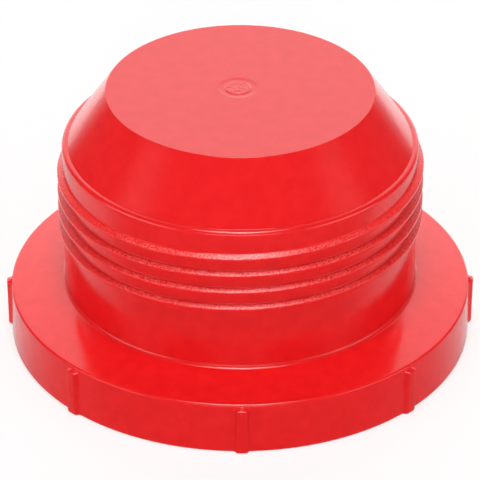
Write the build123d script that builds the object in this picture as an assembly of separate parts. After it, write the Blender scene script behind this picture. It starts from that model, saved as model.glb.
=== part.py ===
"""One-piece moulded protective plug for a straight-thread port, 1 5/8 in. at 12 threads per inch.

The plug stands on the rim of its flange, thread end up. Its axis is +Z and the origin is
at the centre of that rim. From the top down the outside is a flat end disc, a lead-in
cone, a smooth land, a single-start right-hand thread, a plain neck with a root fillet and
a wide flange with grip ribs on its skirt. It is cored from below with an even wall, as a
thin moulding is. All lengths are in millimetres and all angles in degrees.
"""

from build123d import *
from math import cos, radians, tan
import os

# Thread: a trapezoidal ridge wound on the body
THREAD_PITCH = 25.4 / 12
THREAD_TURNS = 4
CREST_RADIUS = 20.5
THREAD_DEPTH = 0.6
CREST_FLAT = 0.36
FLANK_ANGLE = 30.0
RIDGE_ROOTING = 0.4
RUNOUT_SINK = 0.03

# Outside of the body, from the flange up
NECK_LENGTH = 6.69
NECK_FILLET = 0.8
LAND_LENGTH = 2.12
LAND_EDGE_RADIUS = 0.9
LEAD_IN_LENGTH = 6.38
LEAD_IN_ANGLE = 38.0
END_EDGE_RADIUS = 0.25

# Flange
FLANGE_OVERHANG = 6.15
SKIRT_HEIGHT = 6.11
SKIRT_DRAFT = 1.0
SEAT_SLOPE = 7.3
FLANGE_EDGE_RADIUS = 0.4
RIM_EDGE_RADIUS = 0.35

# Walls and core
BODY_WALL = 1.9
END_WALL = 1.9
WEB_WALL = 1.9
SKIRT_WALL = 1.9
CORE_DRAFT = 0.5
CORE_FILLET = 1.0
CORE_MOUTH_RADIUS = 2.0

# Grip ribs on the skirt
RIB_COUNT = 8
RIB_FACE_WIDTH = 1.0
RIB_SIDE_ANGLE = 20.0
RIB_TOP_PROUD = 0.62
RIB_FOOT_PROUD = 0.36
RIB_TOP_GAP = 0.22
RIB_TOP_SLOPE = 18.0
RIB_EDGE_RADIUS = 0.2
RIB_ROOT_FILLET = 0.3
RIB_ROOTING = 1.0

# Gate well in the end disc
GATE_WELL_RADIUS = 2.08
GATE_WELL_DEPTH = 0.3
GATE_WELL_TAPER = 0.25
GATE_NUB_RADIUS = 0.6
GATE_NUB_HEIGHT = 0.22
GATE_OFFSET = (-0.24, 0.1)

# Radii and heights that follow from the sizes above
BODY_RADIUS = CREST_RADIUS - THREAD_DEPTH
FLANGE_RADIUS = BODY_RADIUS + FLANGE_OVERHANG
SEAT_Z = SKIRT_HEIGHT + FLANGE_OVERHANG * tan(radians(SEAT_SLOPE))
THREAD_START_Z = SEAT_Z + NECK_LENGTH
THREAD_END_Z = THREAD_START_Z + THREAD_TURNS * THREAD_PITCH
LAND_TOP_Z = THREAD_END_Z + LAND_LENGTH
TOTAL_HEIGHT = LAND_TOP_Z + LEAD_IN_LENGTH
END_RADIUS = BODY_RADIUS - LEAD_IN_LENGTH * tan(radians(LEAD_IN_ANGLE))


def skirt_radius(z):
    """Outer radius of the skirt at a height: it widens downwards by the draft."""
    return FLANGE_RADIUS + (SKIRT_HEIGHT - z) * tan(radians(SKIRT_DRAFT))


def seat_height(radius):
    """Height of the flange's sloping top face at a radius."""
    return SEAT_Z - (radius - BODY_RADIUS) * tan(radians(SEAT_SLOPE))


def core_radius(z):
    """Radius of the drafted bore inside the body at a height."""
    return BODY_RADIUS - BODY_WALL - (z - SEAT_Z + WEB_WALL) * tan(radians(CORE_DRAFT))


def core_cone_corner():
    """Radius and height at which the bore meets the core's cone, which is parallel to the lead-in."""
    cone_slope = tan(radians(LEAD_IN_ANGLE))
    bore_slope = tan(radians(CORE_DRAFT))
    cone_at_land = BODY_RADIUS - BODY_WALL / cos(radians(LEAD_IN_ANGLE))
    rise = (cone_at_land - core_radius(LAND_TOP_Z)) / (cone_slope - bore_slope)
    z = LAND_TOP_Z + rise
    return core_radius(z), z


def core_end_radius():
    """Radius of the flat end of the core, under the end disc."""
    corner_radius, corner_z = core_cone_corner()
    core_end_z = TOTAL_HEIGHT - END_WALL
    return corner_radius - (core_end_z - corner_z) * tan(radians(LEAD_IN_ANGLE))


def wall_section():
    """Half section of the moulded wall: the outside from the axis down, then the core back up."""
    skirt_inside = skirt_radius(0) - SKIRT_WALL
    web_corner_z = seat_height(skirt_inside) - WEB_WALL
    skirt_inside_top = skirt_radius(web_corner_z) - SKIRT_WALL - web_corner_z * tan(radians(SKIRT_DRAFT))
    bore_mouth_z = SEAT_Z - WEB_WALL
    core_end_z = TOTAL_HEIGHT - END_WALL
    corners = [
        ((END_RADIUS, TOTAL_HEIGHT), END_EDGE_RADIUS),
        ((BODY_RADIUS, LAND_TOP_Z), LAND_EDGE_RADIUS),
        ((BODY_RADIUS, SEAT_Z), NECK_FILLET),
        ((FLANGE_RADIUS, SKIRT_HEIGHT), FLANGE_EDGE_RADIUS),
        ((skirt_radius(0), 0), RIM_EDGE_RADIUS),
        ((skirt_inside, 0), RIM_EDGE_RADIUS),
        ((skirt_inside_top, web_corner_z), CORE_FILLET),
        ((core_radius(bore_mouth_z), bore_mouth_z), CORE_MOUTH_RADIUS),
        (core_cone_corner(), CORE_FILLET),
        ((core_end_radius(), core_end_z), CORE_FILLET),
    ]
    points = [(0, TOTAL_HEIGHT)] + [point for point, radius in corners] + [(0, core_end_z)]
    outline = FilletPolyline(*points, radius=[radius for point, radius in corners])
    return make_face(outline + Line(points[-1], points[0]))


def moulded_wall():
    """The hat-shaped wall: end disc, cone, body, flange web and skirt in one revolved solid."""
    return revolve(Plane.XZ * wall_section(), axis=Axis.Z)


def thread_ridge():
    """The helical ridge, with both ends at the back run out on a flat, close to the body."""
    slope = tan(radians(FLANK_ANGLE))
    base_radius = BODY_RADIUS - RIDGE_ROOTING
    half_base = CREST_FLAT / 2 + (THREAD_DEPTH + RIDGE_ROOTING) * slope
    half_crest = CREST_FLAT / 2
    profile = make_face(
        Polyline(
            (base_radius, -half_base),
            (CREST_RADIUS, -half_crest),
            (CREST_RADIUS, half_crest),
            (base_radius, half_base),
            close=True,
        )
    )
    path = Helix(THREAD_PITCH, THREAD_TURNS * THREAD_PITCH, BODY_RADIUS)
    ridge = sweep(Plane.XZ * profile, path=path, is_frenet=True)
    ridge = Pos(0, 0, THREAD_START_Z) * Rot(0, 0, 90) * ridge
    for end_z in (THREAD_START_Z, THREAD_END_Z):
        ridge -= runout_flat(end_z)
    return ridge


def runout_flat(end_z):
    """Block behind the flat on which one end of the ridge runs out, clear of the next turn."""
    flat_y = BODY_RADIUS - RUNOUT_SINK
    block = Box(CREST_RADIUS, THREAD_DEPTH * 4, THREAD_PITCH, align=(Align.CENTER, Align.MIN, Align.CENTER))
    return Pos(0, flat_y, end_z) * block


def rib_plan():
    """Plan of the skirt with its ribs: a disc with tapered teeth, filleted at root and edge."""
    top_radius = FLANGE_RADIUS + RIB_TOP_PROUD
    half_face = RIB_FACE_WIDTH / 2
    side_slope = tan(radians(RIB_SIDE_ANGLE))
    root_radius = FLANGE_RADIUS - RIB_ROOTING
    half_root = half_face + (top_radius - root_radius) * side_slope
    tooth = make_face(
        Polyline(
            (root_radius, -half_root),
            (top_radius, -half_face),
            (top_radius, half_face),
            (root_radius, half_root),
            close=True,
        )
    )
    plan = Circle(FLANGE_RADIUS) + PolarLocations(0, RIB_COUNT) * tooth
    edges = plan.vertices().filter_by(lambda v: v.center().length > top_radius - RIB_EDGE_RADIUS)
    plan = fillet(edges, RIB_EDGE_RADIUS)
    roots = plan.vertices().filter_by(lambda v: abs(v.center().length - FLANGE_RADIUS) < RIB_EDGE_RADIUS / 4)
    return fillet(roots, RIB_ROOT_FILLET)


def rib_envelope():
    """Ring that limits the ribs: it leans in towards the foot and slopes off at the top."""
    inside = FLANGE_RADIUS - SKIRT_WALL / 2
    top_radius = FLANGE_RADIUS + RIB_TOP_PROUD
    foot_radius = skirt_radius(0) + RIB_FOOT_PROUD
    shoulder_z = SKIRT_HEIGHT - RIB_TOP_GAP - RIB_TOP_PROUD * tan(radians(RIB_TOP_SLOPE))
    inner_top_z = shoulder_z + (top_radius - inside) * tan(radians(RIB_TOP_SLOPE))
    outline = FilletPolyline(
        (inside, inner_top_z),
        (top_radius, shoulder_z),
        (foot_radius, 0),
        (inside, 0),
        radius=[RIB_EDGE_RADIUS, RIM_EDGE_RADIUS],
    )
    section = make_face(outline + Line((inside, 0), (inside, inner_top_z)))
    return revolve(Plane.XZ * section, axis=Axis.Z)


def grip_ribs():
    """All the ribs of the skirt, standing from the rim to just below the flange's edge."""
    return extrude(rib_plan(), SKIRT_HEIGHT) & rib_envelope()


def gate_well():
    """Shallow round well in the end disc, with the stub of the gate left standing in it."""
    x, y = GATE_OFFSET
    floor_z = TOTAL_HEIGHT - GATE_WELL_DEPTH
    well = Cone(
        GATE_WELL_RADIUS - GATE_WELL_TAPER,
        GATE_WELL_RADIUS,
        GATE_WELL_DEPTH,
        align=(Align.CENTER, Align.CENTER, Align.MIN),
    )
    nub = Cone(
        GATE_NUB_RADIUS,
        GATE_NUB_RADIUS / 2,
        GATE_NUB_HEIGHT,
        align=(Align.CENTER, Align.CENTER, Align.MIN),
    )
    return Pos(x, y, floor_z) * (well - nub)


def threaded_plug():
    """The whole plug as one solid."""
    return moulded_wall() + thread_ridge() + grip_ribs() - gate_well()


os.makedirs("parts", exist_ok=True)
plug = threaded_plug()
export_step(plug, "parts/threaded_plug.step")
print(f"height {TOTAL_HEIGHT:.2f}, flange {2 * skirt_radius(0):.2f}, end disc {2 * END_RADIUS:.2f}")
print(f"solids {len(plug.solids())}, volume {plug.volume:.1f}")
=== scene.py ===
"""Looks of a moulded protective plug: a screw-in plug for a straight-thread port.

The plug is one shot of red polyethylene. Its skin is worked out as one closed surface on
a grid of azimuths and profile rows, with the helical thread and the grip ribs in it. It
stands on the rim of its flange on a plain white floor, in soft studio light.
"""

from __future__ import annotations

import logging
import math
from dataclasses import dataclass, field
from enum import Enum
from functools import partial

import bpy
import numpy as np
from mathutils import Matrix, Vector

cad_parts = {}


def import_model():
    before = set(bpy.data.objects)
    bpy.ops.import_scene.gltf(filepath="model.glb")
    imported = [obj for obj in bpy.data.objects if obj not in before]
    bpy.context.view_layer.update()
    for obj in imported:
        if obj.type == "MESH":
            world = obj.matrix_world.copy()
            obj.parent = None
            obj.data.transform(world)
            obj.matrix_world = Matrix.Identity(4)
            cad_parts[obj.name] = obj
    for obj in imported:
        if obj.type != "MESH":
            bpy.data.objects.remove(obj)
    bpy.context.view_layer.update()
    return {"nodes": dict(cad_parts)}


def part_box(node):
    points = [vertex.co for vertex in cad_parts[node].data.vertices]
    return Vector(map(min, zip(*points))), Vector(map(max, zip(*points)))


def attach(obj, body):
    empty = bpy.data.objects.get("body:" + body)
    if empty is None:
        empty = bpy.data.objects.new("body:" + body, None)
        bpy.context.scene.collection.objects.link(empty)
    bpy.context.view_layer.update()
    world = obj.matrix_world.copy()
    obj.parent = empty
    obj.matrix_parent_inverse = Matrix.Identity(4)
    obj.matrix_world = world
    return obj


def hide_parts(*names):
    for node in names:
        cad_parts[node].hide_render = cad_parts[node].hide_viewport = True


MM = 0.001
BODY = "root"
NODE = "threaded_plug"

MATH = "ShaderNodeMath"
VECTOR = "ShaderNodeVectorMath"
SPLIT = "ShaderNodeSeparateXYZ"
MAP = "ShaderNodeMapRange"
NOISE = "ShaderNodeTexNoise"
SMOOTH = {"interpolation_type": "SMOOTHSTEP"}
FROM, TO, FIRST, LAST = "From Min", "From Max", "To Min", "To Max"

log = logging.getLogger("plug")


def srgb(hex_colour: str) -> tuple[float, float, float, float]:
    """Turns an sRGB hex colour into linear red, green, blue and alpha.

    Args:
        hex_colour: Six hex digits, such as "ED1C24".

    Returns:
        Linear colour with an alpha of 1.
    """
    parts = [int(hex_colour[i:i + 2], 16) / 255 for i in (0, 2, 4)]
    linear = [c / 12.92 if c <= 0.04045 else ((c + 0.055) / 1.055) ** 2.4 for c in parts]
    return (*linear, 1.0)


def rounded(points: list[tuple[float, float]], radii: list[float], steps: int = 5) -> np.ndarray:
    """Rounds the inner corners of a polyline with arcs.

    Each arc touches both of its straight runs: it starts and ends at a distance of
    radius / tan(half the angle between the runs) from the corner, and its points lie at
    equal angles about the centre on the corner's bisector.

    Args:
        points: Corners of the polyline, the two ends included.
        radii: One radius for each inner corner, 0 for a corner left sharp.
        steps: Number of steps that each arc is divided into.

    Returns:
        Points of the rounded line, one row each.
    """
    corners = np.asarray(points, float)
    line = [corners[:1]]
    for before, corner, after, radius in zip(corners[:-2], corners[1:-1], corners[2:], radii):
        back = (before - corner) / np.linalg.norm(before - corner)
        on = (after - corner) / np.linalg.norm(after - corner)
        half = math.acos(np.clip(back @ on, -1, 1)) / 2
        if radius == 0 or half > math.pi / 2 - 1e-4:
            line.append(corner[None])
            continue
        centre = corner + (back + on) / np.linalg.norm(back + on) * radius / math.sin(half)
        start = corner + back * radius / math.tan(half) - centre
        end = corner + on * radius / math.tan(half) - centre
        turn = math.pi - 2 * half
        share = np.linspace(0, 1, steps + 1)[:, None]
        line.append(centre + (start * np.sin((1 - share) * turn) + end * np.sin(share * turn)) / math.sin(turn))
    line.append(corners[-1:])
    return np.vstack(line)


def divided(line: np.ndarray, longest: float) -> np.ndarray:
    """Divides the runs of a line so that none is longer than a length.

    Args:
        line: Points, one row each.
        longest: Longest run that is left whole.

    Returns:
        The line with points added at equal steps along its long runs.
    """
    runs = np.linalg.norm(np.diff(line, axis=0), axis=1)
    counts = np.maximum(np.ceil(runs / longest).astype(int), 1)
    along = np.concatenate([np.arange(n) / n + i for i, n in enumerate(counts)] + [[len(runs)]])
    places = np.arange(len(line))
    return np.column_stack([np.interp(along, places, line[:, 0]), np.interp(along, places, line[:, 1])])


def add_node(tree: bpy.types.NodeTree, kind: str, inputs: dict | None = None, out: str | int = 0,
             **settings: str) -> bpy.types.NodeSocket | None:
    """Adds a node with its settings and links.

    Args:
        tree: Node tree to add it to.
        kind: Type name of the node.
        inputs: Socket name or number to a value, or to the output socket that feeds it.
        out: Name or number of the output that is wanted.
        settings: Properties of the node itself.

    Returns:
        The wanted output, or None for a node that has no outputs.
    """
    node = tree.nodes.new(kind)
    for name, value in settings.items():
        setattr(node, name, value)
    for name, value in (inputs or {}).items():
        if isinstance(value, bpy.types.NodeSocket):
            tree.links.new(value, node.inputs[name])
        else:
            node.inputs[name].default_value = value
    return node.outputs[out] if node.outputs else None


class Ray(Enum):
    """The kinds of ray that a surface or the studio can answer in its own way."""

    CAMERA = "Is Camera Ray"
    GLOSSY = "Is Glossy Ray"


@dataclass(frozen=True)
class MouldedPolyethylene:
    """Low-density polyethylene, dyed red right through, as it leaves a polished mould.

    It is a glossy, slightly waxy plastic: soft-edged mirror images on the smooth faces,
    broken by flow marks round the gate, and matt grain on the thread's upper flanks, which carry pale pink dots as a
    painted highlight.
    Sizes are in millimetres.
    """

    colour: str = "EE1D1F"
    deep_colour: str = "E9181C"
    # Pale pink of the painted highlight on the thread's upward-facing flanks, and how strongly it shows.
    pale_highlight_colour: str = "FF9A95"
    pale_highlight_share: float = 0.34
    ior: float = 1.51
    roughness_low: float = 0.13
    roughness_high: float = 0.165
    flank_roughness: float = 0.12
    streak_roughness: float = 0.06
    mottle_size: float = 1.6
    haze_size: float = 0.55
    haze_height: float = 0.009
    streak_size: float = 0.16
    streak_height: float = 0.01
    # The real grain is about 0.05 mm; it is drawn nearly four times as coarse so that it shows.
    grain_size: float = 0.19
    grain_height: float = 0.0022
    flank_grain_height: float = 0.016
    gate_grain_size: float = 0.42
    gate_grain_height: float = 0.13
    pit_spacing: float = 1.5
    pit_radius: float = 0.09
    pit_depth: float = 0.012

    def thread_zones(self, tree: bpy.types.NodeTree, place: bpy.types.NodeSocket,
                     plug: ThreadedPlug) -> tuple[bpy.types.NodeSocket, ...]:
        """Finds the thread's ridge, its upper flanks and where their grain is strong.

        Args:
            tree: The material's node tree.
            place: Position on the plug.
            plug: The plug, whose sizes say where the thread is.

        Returns:
            Three values from 0 to 1: on the ridge, on an upper flank, and the strength of the flanks' grain and of
                their painted highlight,
            which falls off to both sides of the plug, where the flanks stay smooth.
        """
        node = partial(add_node, tree)
        flat = node(VECTOR, {0: place, 1: (1, 1, 0)}, operation="MULTIPLY")
        radius = node(VECTOR, {0: flat}, "Value", operation="LENGTH")
        height = node(SPLIT, {0: place}, "Z")
        upwards = node(SPLIT, {0: node("ShaderNodeNewGeometry", out="Normal")}, "Z")
        aside = node(MATH, {0: node(SPLIT, {0: place}, "X")}, operation="ABSOLUTE")
        out_of_body = node(MAP, {
            0: radius, FROM: (plug.body_radius + 0.05) * MM, TO: (plug.body_radius + 0.14) * MM}, **SMOOTH)
        above_neck = node(MAP, {
            0: height, FROM: (plug.thread_start_z - 2) * MM, TO: (plug.thread_start_z - 1.5) * MM}, **SMOOTH)
        ridge = node(MATH, {0: out_of_body, 1: above_neck}, operation="MULTIPLY")
        # Upward-facing flanks, where the overhead light falls, carry the painted highlight as well as the grain.
        facing_up = node(MAP, {0: upwards, FROM: 0.2, TO: 0.6}, **SMOOTH)
        flank = node(MATH, {0: ridge, 1: facing_up}, operation="MULTIPLY")
        # The painted highlight and the flanks' deep grain fade from the front and back of the plug towards its
        # sides.
        fade_to_sides = node(MAP, {0: aside, FROM: 9 * MM, TO: 18 * MM, FIRST: 1, LAST: 0.2}, **SMOOTH)
        return ridge, flank, node(MATH, {0: flank, 1: fade_to_sides}, operation="MULTIPLY")

    def end_zones(self, tree: bpy.types.NodeTree, place: bpy.types.NodeSocket,
                  plug: ThreadedPlug) -> tuple[bpy.types.NodeSocket, ...]:
        """Finds the gate's core on the end and the flow streaks that run out from it.

        Args:
            tree: The material's node tree.
            place: Position on the plug.
            plug: The plug, whose sizes say where its end and its gate are.

        Returns:
            Two values from 0 to 1: on the gate's core, and the strength of the streaks.
        """
        node = partial(add_node, tree)
        height = node(SPLIT, {0: place}, "Z")
        flat = node(VECTOR, {0: place, 1: (1, 1, 0)}, operation="MULTIPLY")
        gate = (plug.gate_offset[0] * MM, plug.gate_offset[1] * MM, 0)
        from_gate = node(VECTOR, {0: flat, 1: gate}, operation="SUBTRACT")
        radius = node(VECTOR, {0: from_gate}, "Value", operation="LENGTH")
        outward = node(VECTOR, {0: from_gate}, operation="NORMALIZE")
        on_end = node(MAP, {0: height, FROM: (plug.height - 0.3) * MM, TO: (plug.height - 0.2) * MM}, **SMOOTH)
        in_core = node(MAP, {
            0: radius, FROM: plug.gate_core_radius * MM, TO: (plug.gate_core_radius + 0.25) * MM,
            FIRST: 1, LAST: 0}, **SMOOTH)
        fading = node(MAP, {0: radius, FROM: 9 * MM, TO: 2 * MM}, **SMOOTH)
        spokes = node(NOISE, {"Vector": outward, "Scale": 1 / self.streak_size, "Detail": 2.0}, "Fac")
        streak = node(MATH, {0: on_end, 1: fading}, operation="MULTIPLY")
        core = node(MATH, {0: on_end, 1: in_core}, operation="MULTIPLY")
        return core, node(MATH, {0: streak, 1: spokes}, operation="MULTIPLY")

    def pits(self, tree: bpy.types.NodeTree, place: bpy.types.NodeSocket,
             ridge: bpy.types.NodeSocket) -> bpy.types.NodeSocket:
        """Scatters small round pits over the faces off the thread.

        Args:
            tree: The material's node tree.
            place: Position on the plug.
            ridge: Value of 1 on the thread's ridge, which has no pits.

        Returns:
            Value of 1 at a pit's middle and 0 outside it. About a third of the cells have one.
        """
        node = partial(add_node, tree)
        cells = {"Vector": place, "Scale": 1 / (self.pit_spacing * MM), "Randomness": 1.0}
        distance = node("ShaderNodeTexVoronoi", cells, "Distance")
        number = node("ShaderNodeSeparateColor", {0: node("ShaderNodeTexVoronoi", cells, "Color")}, "Red")
        dent = node(MAP, {0: distance, FROM: self.pit_radius / self.pit_spacing, TO: 0}, **SMOOTH)
        chosen = node(MAP, {0: number, FROM: 0.62, TO: 0.66}, **SMOOTH)
        dent = node(MATH, {0: dent, 1: chosen}, operation="MULTIPLY")
        off_thread = node(MATH, {0: 1.0, 1: ridge}, operation="SUBTRACT")
        return node(MATH, {0: dent, 1: off_thread}, operation="MULTIPLY")

    def build(self, plug: ThreadedPlug) -> bpy.types.Material:
        """Makes the material.

        Args:
            plug: The plug, whose radii and heights say where its thread and its gate are.

        Returns:
            The material.
        """
        material = bpy.data.materials.new("moulded_red_polyethylene")
        material.use_nodes = True
        tree = material.node_tree
        tree.nodes.clear()
        node = partial(add_node, tree)
        place = node("ShaderNodeTexCoord", out="Object")
        ridge, flank, grain_and_highlight = self.thread_zones(tree, place, plug)
        core, streaks = self.end_zones(tree, place, plug)
        dent = self.pits(tree, place, ridge)
        mottle, haze, grain, fleck = (
            node(NOISE, {"Vector": place, "Scale": 1 / (size * MM), "Detail": detail, "Roughness": 0.55}, "Fac")
            for size, detail in (
                (self.mottle_size, 4), (self.haze_size, 3), (self.grain_size, 2), (self.gate_grain_size, 2))
        )
        # Broad mottle and fine haze make the gloss uneven, as on skin chilled by the mould.
        clouds = node(MATH, {0: mottle, 1: 0.7}, operation="MULTIPLY")
        clouds = node(MATH, {0: haze, 1: 0.3, 2: clouds}, operation="MULTIPLY_ADD")
        rough = node(MAP, {
            0: clouds, FROM: 0.36, TO: 0.64, FIRST: self.roughness_low, LAST: self.roughness_high}, **SMOOTH)
        for where, amount in ((flank, self.flank_roughness), (streaks, self.streak_roughness)):
            rough = node(MATH, {0: where, 1: amount, 2: rough}, operation="MULTIPLY_ADD")
        # Relief is in metres: fine grain all over, deep on the flanks, and rough in the gate's core.
        deeper = (self.flank_grain_height - self.grain_height) * MM
        depth = node(MATH, {0: grain_and_highlight, 1: deeper, 2: self.grain_height * MM}, operation="MULTIPLY_ADD")
        relief = node(MATH, {0: grain, 1: depth}, operation="MULTIPLY")
        torn = node(MATH, {0: core, 1: fleck}, operation="MULTIPLY")
        for where, amount in ((torn, self.gate_grain_height), (dent, -self.pit_depth),
                              (haze, self.haze_height), (streaks, self.streak_height)):
            relief = node(MATH, {0: where, 1: amount * MM, 2: relief}, operation="MULTIPLY_ADD")
        bump = node("ShaderNodeBump", {"Height": relief, "Distance": 1.0, "Strength": 1.0})
        # The dye is a little deeper in the mottle. Pale pink dots on the upward-facing flanks are a painted
        # highlight, strongest front and back and fading to the sides.
        deep = node(MAP, {0: mottle, FROM: 0.35, TO: 0.65}, **SMOOTH)
        tint = node("ShaderNodeMix", {0: deep, 6: srgb(self.colour), 7: srgb(self.deep_colour)}, 2, data_type="RGBA")
        highlight_dots = node(MAP, {0: grain, FROM: 0.42, TO: 0.62, FIRST: 0, LAST: self.pale_highlight_share}, **SMOOTH)
        highlight_dots = node(MATH, {0: highlight_dots, 1: grain_and_highlight}, operation="MULTIPLY")
        tint_and_highlight = node("ShaderNodeMix", {0: highlight_dots, 6: tint, 7: srgb(self.pale_highlight_colour)}, 2, data_type="RGBA")
        shader = node("ShaderNodeBsdfPrincipled", {
            "Base Color": tint_and_highlight, "Roughness": rough, "IOR": self.ior, "Normal": bump})
        node("ShaderNodeOutputMaterial", {"Surface": shader})
        return material


@dataclass
class ThreadedPlug:
    """The plug's skin. Lengths are in millimetres and angles in degrees."""

    crest_radius: float = 20.5
    thread_depth: float = 0.6
    thread_pitch: float = 25.4 / 12
    thread_turns: int = 4
    crest_flat: float = 0.36
    flank_angle: float = 30.0
    runout_sink: float = 0.03
    crest_rounding: float = 0.12
    root_rounding: float = 0.12

    neck_length: float = 6.69
    neck_fillet: float = 0.45
    land_length: float = 2.12
    land_edge_radius: float = 0.48
    shoulder_width: float = 0.62
    shoulder_fillet: float = 0.08
    lead_in_angle: float = 34.4
    end_edge_radius: float = 0.12

    flange_overhang: float = 6.15
    skirt_height: float = 6.11
    skirt_draft: float = 1.0
    seat_slope: float = 7.3
    flange_edge_radius: float = 0.3
    rim_edge_radius: float = 0.35

    wall: float = 1.9
    core_draft: float = 0.5
    core_cone_angle: float = 38.0
    core_fillet: float = 1.0
    core_mouth_radius: float = 2.0

    rib_count: int = 8
    rib_width: float = 1.24
    rib_side_angle: float = 8.0
    rib_top_proud: float = 0.58
    rib_foot_proud: float = 0.42
    rib_edge_radius: float = 0.3
    rib_root_fillet: float = 0.42
    rib_top_gap: float = 0.24
    rib_cap_height: float = 0.26
    rib_cap_rows: int = 10
    cap_row_clearance: float = 0.02

    gate_ring_radius: float = 2.05
    gate_ring_width: float = 0.45
    gate_depth: float = 0.06
    gate_core_radius: float = 1.3
    gate_core_rise: float = 0.02
    gate_offset: tuple[float, float] = (-0.24, 0.3)

    column_spacing: float = 2.25
    rib_column_spacing: float = 0.1
    rib_columns_past_foot: float = 1.05
    row_spacing: float = 0.9
    finish: MouldedPolyethylene = field(default_factory=MouldedPolyethylene)

    def __post_init__(self) -> None:
        """Works out the radii and heights that follow from the sizes and the frame."""
        low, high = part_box(NODE)
        self.height = high.z / MM
        self.body_radius = self.crest_radius - self.thread_depth
        self.flange_radius = self.body_radius + self.flange_overhang
        self.seat_z = self.skirt_height + self.flange_overhang * math.tan(math.radians(self.seat_slope))
        self.thread_start_z = self.seat_z + self.neck_length
        self.thread_end_z = self.thread_start_z + self.thread_turns * self.thread_pitch
        self.land_top_z = self.thread_end_z + self.land_length
        self.lead_in_length = self.height - self.land_top_z
        self.lead_in = math.tan(math.radians(self.lead_in_angle))
        self.end_radius = self.body_radius - self.shoulder_width - self.lead_in_length * self.lead_in
        self.draft = math.tan(math.radians(self.skirt_draft))

    def rib_plan(self) -> np.ndarray:
        """Plan of half a rib as distance from its middle and height out of the skirt.

        The line runs from the skirt through the root fillet, up the sloping side and round
        the edge to the middle of the face.

        Returns:
            Points from the middle outwards, one row each.
        """
        half = self.rib_width / 2
        foot = half + self.rib_top_proud * math.tan(math.radians(self.rib_side_angle))
        line = rounded(
            [(foot + 2 * self.rib_root_fillet, 0), (foot, 0), (half, self.rib_top_proud), (0, self.rib_top_proud)],
            [self.rib_root_fillet, self.rib_edge_radius], 8,
        )
        return line[::-1]

    def azimuths(self) -> tuple[np.ndarray, np.ndarray]:
        """Places the grid's columns: close together over each rib and evenly between them.

        Returns:
            Azimuths from the back, counter-clockwise from above, in radians, for one full
            turn with both ends, and the distance of each from the middle of the nearest rib.
        """
        half_sector = math.pi / self.rib_count
        edge = self.rib_plan()[-2, 0] * self.rib_columns_past_foot / self.flange_radius
        over = np.linspace(0, edge, int(math.ceil(edge * self.flange_radius / self.rib_column_spacing)) + 1)
        plain = int(math.ceil((half_sector - edge) / math.radians(self.column_spacing)))
        half = np.concatenate([over, np.linspace(edge, half_sector, plain + 1)[1:]])
        sector = np.concatenate([-half[:0:-1], half[:-1]])
        turns = np.arange(self.rib_count)[:, None] * 2 * half_sector
        azimuth = np.sort(np.mod((sector[None] + turns).ravel(), 2 * math.pi))
        azimuth = np.concatenate([azimuth, azimuth[:1] + 2 * math.pi])
        azimuth -= azimuth[0]
        nearest = np.round(azimuth / (2 * half_sector)) * 2 * half_sector
        return azimuth, np.abs(azimuth - nearest) * self.flange_radius

    def gate(self) -> np.ndarray:
        """Profile of the gate's mark: a shallow round dish with a low core standing in it.

        The dish and the core fade in and out by smooth steps: 3t^2 - 2t^3 over their edges.

        Returns:
            Radius and height of each point, from the centre outwards.
        """
        radius = np.linspace(0, self.gate_ring_radius + self.gate_ring_width, 22)

        def fade(start: float, width: float) -> np.ndarray:
            """Falls smoothly from 1 inside a radius to 0 outside it, over a width."""
            share = np.clip((radius - start) / width, 0, 1)
            return 1 - share * share * (3 - 2 * share)

        dish = self.gate_depth * fade(self.gate_ring_radius - self.gate_ring_width / 2, self.gate_ring_width)
        core = self.gate_core_rise * fade(self.gate_core_radius, self.gate_ring_width)
        return np.column_stack([radius, self.height - dish + core])

    def end_and_cone(self) -> np.ndarray:
        """Profile from the gate's centre over the end disc, the cone and its shoulder to the land.

        Returns:
            Radius and height of each point, down to the top of the threaded stretch.
        """
        cone = rounded(
            [(self.end_radius / 2, self.height), (self.end_radius, self.height),
             (self.body_radius - self.shoulder_width, self.land_top_z), (self.body_radius, self.land_top_z),
             (self.body_radius, self.thread_zone()[1])],
            [self.end_edge_radius, self.shoulder_fillet, self.land_edge_radius], 6,
        )
        return np.vstack([self.gate(), divided(cone, self.row_spacing)])

    def thread_zone(self) -> tuple[float, float]:
        """Finds the stretch that the thread's rows fill.

        Returns:
            Its lowest and its highest height.
        """
        half_turn = self.thread_pitch / 2
        return self.thread_start_z - half_turn, self.thread_end_z + half_turn

    def turn_profile(self) -> np.ndarray:
        """Profile of one pitch of thread, from mid-root over the crest to mid-root.

        Returns:
            Radius and height of each point, with heights from 0 to the pitch.
        """
        slope = math.tan(math.radians(self.flank_angle))
        middle = self.thread_pitch / 2
        half_crest = self.crest_flat / 2
        half_base = half_crest + self.thread_depth * slope
        return rounded(
            [(self.body_radius, 0), (self.body_radius, middle - half_base),
             (self.crest_radius, middle - half_crest), (self.crest_radius, middle + half_crest),
             (self.body_radius, middle + half_base), (self.body_radius, self.thread_pitch)],
            [self.root_rounding, self.crest_rounding, self.crest_rounding, self.root_rounding], 3,
        )

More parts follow.
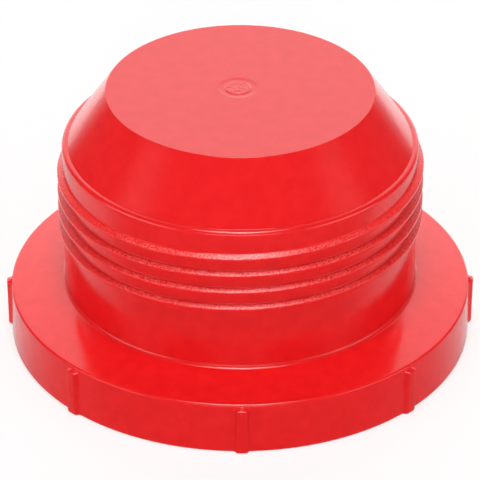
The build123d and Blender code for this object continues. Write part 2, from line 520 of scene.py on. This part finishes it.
    def thread_rows(self, azimuth: np.ndarray) -> tuple[np.ndarray, np.ndarray]:
        """Rows of the threaded stretch, which climb with the helix.

        Turn k holds the profile of one pitch, raised by pitch * (k + t), where t is the
        share of a full turn at that azimuth. A plain band under the first turn grows from
        nothing to one pitch as t goes from 0 to 1, and one above the last turn shrinks the
        same way, so the rows of turn k at t = 1 are those of turn k + 1 at t = 0. At its two
        ends the ridge is cut back to a flat behind the body: radius = flat / cos(azimuth).

        Args:
            azimuth: Azimuths of the columns, from the back.

        Returns:
            Radii and heights, one row of the grid each, from the top down.
        """
        low, high = self.thread_zone()
        profile = self.turn_profile()
        share = azimuth / (2 * math.pi)
        radii, heights = [], []
        flat = (self.body_radius - self.runout_sink) / np.maximum(np.cos(azimuth), 0.1)
        cut = np.maximum(flat, self.body_radius)
        for turn in range(self.thread_turns):
            first_quarter = (turn == 0) & (share < 0.25)
            last_quarter = (turn == self.thread_turns - 1) & (share > 0.75)
            radius = np.repeat(profile[:-1, :1], len(azimuth), axis=1)
            radius = np.where(first_quarter | last_quarter, np.minimum(radius, cut), radius)
            radii.append(radius)
            heights.append(low + profile[:-1, 1:] + self.thread_pitch * (turn + share))
        plain = np.full((len(profile) - 1, len(azimuth)), self.body_radius)
        under = low + profile[:-1, 1:] * share
        top_start = low + self.thread_pitch * (self.thread_turns + share)
        over = top_start + profile[:-1, 1:] * (1 - share)
        radius = np.vstack([plain, *radii, plain])
        height = np.vstack([under, *heights, over])
        return radius[::-1], height[::-1]

    def neck_and_flange(self) -> np.ndarray:
        """Profile from the foot of the threaded stretch over the flange and down the skirt to the rim.

        Rows are placed close together where the ribs' caps are, in place of those of the
        plain skirt.

        Returns:
            Radius and height of each point.
        """
        foot = self.flange_radius + self.skirt_height * self.draft
        line = rounded(
            [(self.body_radius, self.thread_zone()[0]), (self.body_radius, self.seat_z),
             (self.flange_radius, self.skirt_height), (foot, 0), (foot - 2 * self.rim_edge_radius, 0)],
            [self.neck_fillet, self.flange_edge_radius, self.rim_edge_radius], 8,
        )
        line = divided(line[:-1], self.row_spacing)
        top = self.skirt_height - self.rib_top_gap
        caps = np.linspace(top, top - 1.5 * self.rib_cap_height, self.rib_cap_rows)
        skirt = line[:, 0] > self.flange_radius - self.flange_edge_radius
        side = line[skirt][:0:-1]
        above = line[~skirt | (line[:, 1] > caps[0] + self.cap_row_clearance)]
        below = line[skirt & (line[:, 1] < caps[-1] - self.cap_row_clearance)]
        return np.vstack([above, np.column_stack([np.interp(caps, side[:, 1], side[:, 0]), caps]), below])

    def rib_reach(self, across: np.ndarray, height: np.ndarray) -> np.ndarray:
        """Works out how far each grid point of the skirt stands out for the ribs.

        Below its cap a rib has its full plan, whose reach shrinks evenly to the foot. Its
        cap is hipped: at a share s of the cap's height the plan is drawn s times as large
        both ways, so reach = s * plan(across / s). At the rim it follows the rim's rounding.

        Args:
            across: Distance of each column from the middle of its rib.
            height: Height of each row.

        Returns:
            Reach out of the plain skirt, rows by columns.
        """
        plan = self.rib_plan()
        top = self.skirt_height - self.rib_top_gap
        share = np.clip((top - height) / self.rib_cap_height, 1e-4, 1)[:, None]
        reach = share * np.interp(across[None] / share, plan[:, 0], plan[:, 1])
        lean = self.rib_foot_proud + (self.rib_top_proud - self.rib_foot_proud) * height / self.skirt_height
        return np.where(height[:, None] < top, reach * lean[:, None] / self.rib_top_proud, 0)

    def core(self) -> np.ndarray:
        """Profile of the rim's flat and the core.

        Returns:
            Radius and height of each point, from the rim up to the middle of the core's end.
        """
        rim_radius = self.flange_radius + self.skirt_height * self.draft
        inside = rim_radius - self.wall
        web_z = self.seat_z - (inside - self.body_radius) * math.tan(math.radians(self.seat_slope)) - self.wall
        inside_top = rim_radius - self.wall - 2 * web_z * self.draft
        mouth_z = self.seat_z - self.wall
        slope = math.tan(math.radians(self.core_draft))
        bore = self.body_radius - self.wall
        cone = math.tan(math.radians(self.core_cone_angle))
        cone_at_land = self.body_radius - self.wall / math.cos(math.radians(self.core_cone_angle))
        bore_at_land = bore - (self.land_top_z - mouth_z) * slope
        rise = (cone_at_land - bore_at_land) / (cone - slope)
        corner = (bore_at_land - rise * slope, self.land_top_z + rise)
        end_z = self.height - self.wall
        end_radius = corner[0] - (end_z - corner[1]) * cone
        line = rounded(
            [(rim_radius - self.rim_edge_radius, 0), (inside, 0), (inside_top, web_z), (bore, mouth_z),
             corner, (end_radius, end_z), (0, end_z)],
            [self.rim_edge_radius, self.core_fillet, self.core_mouth_radius, self.core_fillet, self.core_fillet],
        )
        return divided(line, 2 * self.row_spacing)[1:]

    def surface(self) -> np.ndarray:
        """Works out the whole closed skin as one grid of points.

        Returns:
            Points in metres, rows by columns by three, from the gate down the outside and
            back up the core.
        """
        azimuth, across = self.azimuths()
        top = self.end_and_cone()
        thread_r, thread_z = self.thread_rows(azimuth)
        flange = self.neck_and_flange()
        core = self.core()

        def spread(values: np.ndarray) -> np.ndarray:
            """Repeats one value for each row over all azimuths."""
            return np.repeat(np.asarray(values)[:, None], len(azimuth), axis=1)

        skirt = (flange[:, 0] > self.flange_radius - self.flange_edge_radius)[:, None]
        ribbed = spread(flange[:, 0]) + np.where(skirt, self.rib_reach(across, flange[:, 1]), 0)
        radius = np.vstack([spread(top[:-1, 0]), thread_r, ribbed, spread(core[:, 0])])
        height = np.vstack([spread(top[:-1, 1]), thread_z, spread(flange[:, 1]), spread(core[:, 1])])
        x = -radius * np.sin(azimuth)
        y = radius * np.cos(azimuth)
        disc = slice(0, len(top) - 1)
        fade = np.clip((self.end_radius * 0.9 - radius[disc]) / (self.end_radius * 0.7), 0, 1)
        x[disc] += self.gate_offset[0] * fade
        y[disc] += self.gate_offset[1] * fade
        return np.stack([x, y, height], axis=-1) * MM

    def build(self) -> bpy.types.Object:
        """Builds the skin, dresses it and puts it in the place of its CAD node.

        Returns:
            The skin.
        """
        piece = bpy.data.objects.new("plug_skin", mesh_from_grid("plug_skin", self.surface()))
        bpy.context.scene.collection.objects.link(piece)
        piece.data.materials.append(self.finish.build(self))
        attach(piece, BODY)
        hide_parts(NODE)
        return piece


def mesh_from_grid(name: str, grid: np.ndarray) -> bpy.types.Mesh:
    """Makes a smooth mesh from a grid of points, with points that coincide made one.

    That closes the seam between the first and the last column, and the poles.

    A vertex's normal is the sum of its faces' normals, each times the face's area, so the
    large faces stay flat and the shading turns over the narrow rounded ones.

    Args:
        name: Name of the mesh.
        grid: Points in metres, rows by columns by three.

    Returns:
        The mesh.
    """
    rows, columns = grid.shape[:2]
    index = np.arange(rows * columns).reshape(rows, columns)
    quads = np.stack([index[:-1, :-1], index[1:, :-1], index[1:, 1:], index[:-1, 1:]], axis=-1).reshape(-1, 4)
    points = grid.reshape(-1, 3)
    _, first, place = np.unique(np.round(points, 8), axis=0, return_index=True, return_inverse=True)
    faces = place.reshape(-1)[quads]
    same = faces == np.roll(faces, -1, axis=1)
    whole = faces[~same.any(axis=1)]
    thin = faces[same.sum(axis=1) == 1]
    keep = ~same[same.sum(axis=1) == 1]
    triangles = thin[keep].reshape(-1, 3)
    mesh = bpy.data.meshes.new(name)
    mesh.from_pydata(points[first].tolist(), [], whole.tolist() + triangles.tolist())
    mesh.validate()
    mesh.update()
    count = len(mesh.polygons)
    normals = np.empty(count * 3)
    areas = np.empty(count)
    sizes = np.empty(count, int)
    corners = np.empty(len(mesh.loops), int)
    mesh.polygons.foreach_get("normal", normals)
    mesh.polygons.foreach_get("area", areas)
    mesh.polygons.foreach_get("loop_total", sizes)
    mesh.loops.foreach_get("vertex_index", corners)
    weighted = np.repeat(normals.reshape(-1, 3) * areas[:, None], sizes, axis=0)
    total = np.zeros((len(mesh.vertices), 3))
    np.add.at(total, corners, weighted)
    total /= np.linalg.norm(total, axis=1, keepdims=True)
    mesh.polygons.foreach_set("use_smooth", np.ones(count, bool))
    mesh.normals_split_custom_set_from_vertices(total.tolist())
    log.info("%s: %d points, %d faces", name, len(mesh.vertices), count)
    return mesh


@dataclass(frozen=True)
class Softbox:
    """A round patch of soft light far away: its place, its size in degrees and its strength."""

    elevation: float
    azimuth: float
    half_angle: float
    feather: float
    strength: float

    def add(self, tree: bpy.types.NodeTree, direction: bpy.types.NodeSocket,
            total: bpy.types.NodeSocket | float) -> bpy.types.NodeSocket:
        """Adds the patch to the light that comes from a direction.

        Args:
            tree: The world's node tree.
            direction: Direction that the light comes from.
            total: Strength of the light so far.

        Returns:
            Strength with the patch added: it fades smoothly over its feather.
        """
        rise, turn = math.radians(self.elevation), math.radians(self.azimuth)
        axis = (-math.sin(turn) * math.cos(rise), math.cos(turn) * math.cos(rise), math.sin(rise))
        near = add_node(tree, VECTOR, {0: direction, 1: axis}, "Value", operation="DOT_PRODUCT")
        part = add_node(tree, MAP, {
            0: near,
            FROM: math.cos(math.radians(self.half_angle + self.feather / 2)),
            TO: math.cos(math.radians(self.half_angle - self.feather / 2)),
            LAST: self.strength,
        }, **SMOOTH)
        return add_node(tree, MATH, {0: part, 1: total}, operation="ADD")


@dataclass
class Studio:
    """Floor, light and camera. Lengths are in millimetres and angles in degrees."""

    floor_radius: float = 180.0
    floor_drop: float = 0.02
    front_glow: float = 0.15
    side_glow: float = 0.8
    back_glow: float = 0.7
    own_white: float = 0.6
    elevation: float = 31.95
    azimuth: float = -0.45
    roll: float = 0.05
    distance: float = 384.4
    aim_height: float = 10.9
    aim_aside: float = -0.02
    lens: float = 254.0
    ambient: float = 0.14
    softboxes: tuple[Softbox, ...] = (
        Softbox(79.0, 180.0, 12.0, 10.0, 12.0),
        Softbox(20.0, 0.0, 33.0, 34.0, 1.5),
        Softbox(-2.0, 22.0, 14.0, 26.0, 0.4),
        Softbox(-2.0, -22.0, 14.0, 26.0, 0.4),
        Softbox(-2.0, 115.0, 22.0, 22.0, 2.4),
        Softbox(-2.0, -115.0, 22.0, 22.0, 2.1),
        Softbox(0.0, 180.0, 22.0, 20.0, 1.9),
    )

    def floor(self) -> bpy.types.Object:
        """Makes the floor: a disc of rings, a hair under the rim that stands on it.

        Returns:
            The floor.
        """
        ring = np.linspace(0, 2 * math.pi, 65)
        radius = np.linspace(0, self.floor_radius * MM, 9)
        x, y = np.outer(radius, np.cos(ring)), np.outer(radius, np.sin(ring))
        floor = bpy.data.objects.new("floor", mesh_from_grid(
            "floor", np.stack([x, y, np.full_like(x, -self.floor_drop * MM)], axis=-1)))
        bpy.context.scene.collection.objects.link(floor)
        floor.data.materials.append(self.board())
        return floor

    def board(self) -> bpy.types.Material:
        """Makes the floor's matt white board.

        In gloss it shows as painted light and shade: it glows brightly beside and behind the object
        and dimly in front of it, so that the walls in front keep their deep red.

        Returns:
            The material.
        """
        material = bpy.data.materials.new("matt_white_board")
        material.use_nodes = True
        tree = material.node_tree
        tree.nodes.clear()
        node = partial(add_node, tree)
        depth = node(SPLIT, {0: node("ShaderNodeTexCoord", out="Object")}, "Y")
        # Glossy rays see painted light and shade on the board: a dim glow in front, a bright one beside and behind.
        beside = node(MAP, {
            0: depth, FROM: -28 * MM, TO: 0, FIRST: self.front_glow, LAST: self.side_glow}, **SMOOTH)
        behind = node(MAP, {0: depth, FROM: 40 * MM, TO: 100 * MM, LAST: self.back_glow}, **SMOOTH)
        glow = node(MATH, {0: beside, 1: behind}, operation="ADD")
        lit = node("ShaderNodeBsdfDiffuse", {"Color": srgb("FAFAFA"), "Roughness": 0.5})
        painted_glow = node("ShaderNodeEmission", {"Color": srgb("FFFFFF"), "Strength": glow})
        glossy = node("ShaderNodeLightPath", out=Ray.GLOSSY.value)
        mix = node("ShaderNodeMixShader", {0: glossy, 1: lit, 2: painted_glow})
        # Seen straight, most of the board's white is its own, so the shadow on it stays faint.
        clear = node("ShaderNodeBsdfDiffuse", {"Color": srgb("FFFFFF"), "Roughness": 0.5})
        white = node("ShaderNodeEmission", {"Color": srgb("FFFFFF"), "Strength": 1.0})
        seen = node("ShaderNodeMixShader", {0: self.own_white, 1: clear, 2: white})
        straight = node("ShaderNodeLightPath", out=Ray.CAMERA.value)
        mix = node("ShaderNodeMixShader", {0: straight, 1: mix, 2: seen})
        node("ShaderNodeOutputMaterial", {"Surface": mix})
        return material

    def world(self) -> None:
        """Lights the object from the softboxes and an even glow, before a plain white wall."""
        world = bpy.data.worlds.new("studio")
        bpy.context.scene.world = world
        world.use_nodes = True
        tree = world.node_tree
        tree.nodes.clear()
        direction = add_node(tree, "ShaderNodeTexCoord", out="Generated")
        total = self.ambient
        for softbox in self.softboxes:
            total = softbox.add(tree, direction, total)
        light = add_node(tree, "ShaderNodeBackground", {"Color": (1, 1, 1, 1), "Strength": total})
        wall = add_node(tree, "ShaderNodeBackground", {"Color": (1, 1, 1, 1), "Strength": 1.0})
        straight = add_node(tree, "ShaderNodeLightPath", out=Ray.CAMERA.value)
        mix = add_node(tree, "ShaderNodeMixShader", {0: straight, 1: light, 2: wall})
        add_node(tree, "ShaderNodeOutputWorld", {"Surface": mix})

    def camera(self) -> None:
        """Places the camera on its line of sight, with its roll."""
        turn, rise, roll = (math.radians(a) for a in (self.azimuth, self.elevation, self.roll))
        back = Vector((math.sin(turn) * math.cos(rise), -math.cos(turn) * math.cos(rise), math.sin(rise)))
        right = Vector((math.cos(turn), math.sin(turn), 0))
        up = back.cross(right)
        rolled_right = right * math.cos(roll) + up * math.sin(roll)
        rolled_up = up * math.cos(roll) - right * math.sin(roll)
        aim = right * self.aim_aside * MM + Vector((0, 0, self.aim_height * MM))
        camera = bpy.data.objects.new("camera", bpy.data.cameras.new("camera"))
        camera.data.lens = self.lens
        camera.data.sensor_width = 36.0
        camera.data.clip_start = 0.01
        place = Matrix((rolled_right, rolled_up, back)).transposed().to_4x4()
        place.translation = aim + back * self.distance * MM
        camera.matrix_world = place
        bpy.context.scene.collection.objects.link(camera)
        bpy.context.scene.camera = camera

    def build(self) -> None:
        """Sets up the whole stage."""
        bpy.context.scene.view_settings.view_transform = "Standard"
        self.floor()
        self.world()
        self.camera()


def corners(bounds: tuple) -> list[list[float]]:
    """Turns a box's two corners into plain lists.

    Args:
        bounds: The lowest and the highest corner.

    Returns:
        The same two corners, as lists of numbers.
    """
    return [list(map(float, corner)) for corner in bounds]


def main() -> None:
    """Builds the plug around its frame and sets the stage."""
    logging.basicConfig(level=logging.INFO, format="%(name)s: %(message)s")
    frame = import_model()
    log.info("frame nodes: %s", sorted(frame["nodes"]))
    piece = ThreadedPlug().build()
    log.info("built %s", piece.name)
    Studio().build()


if __name__ == "__main__":
    main()
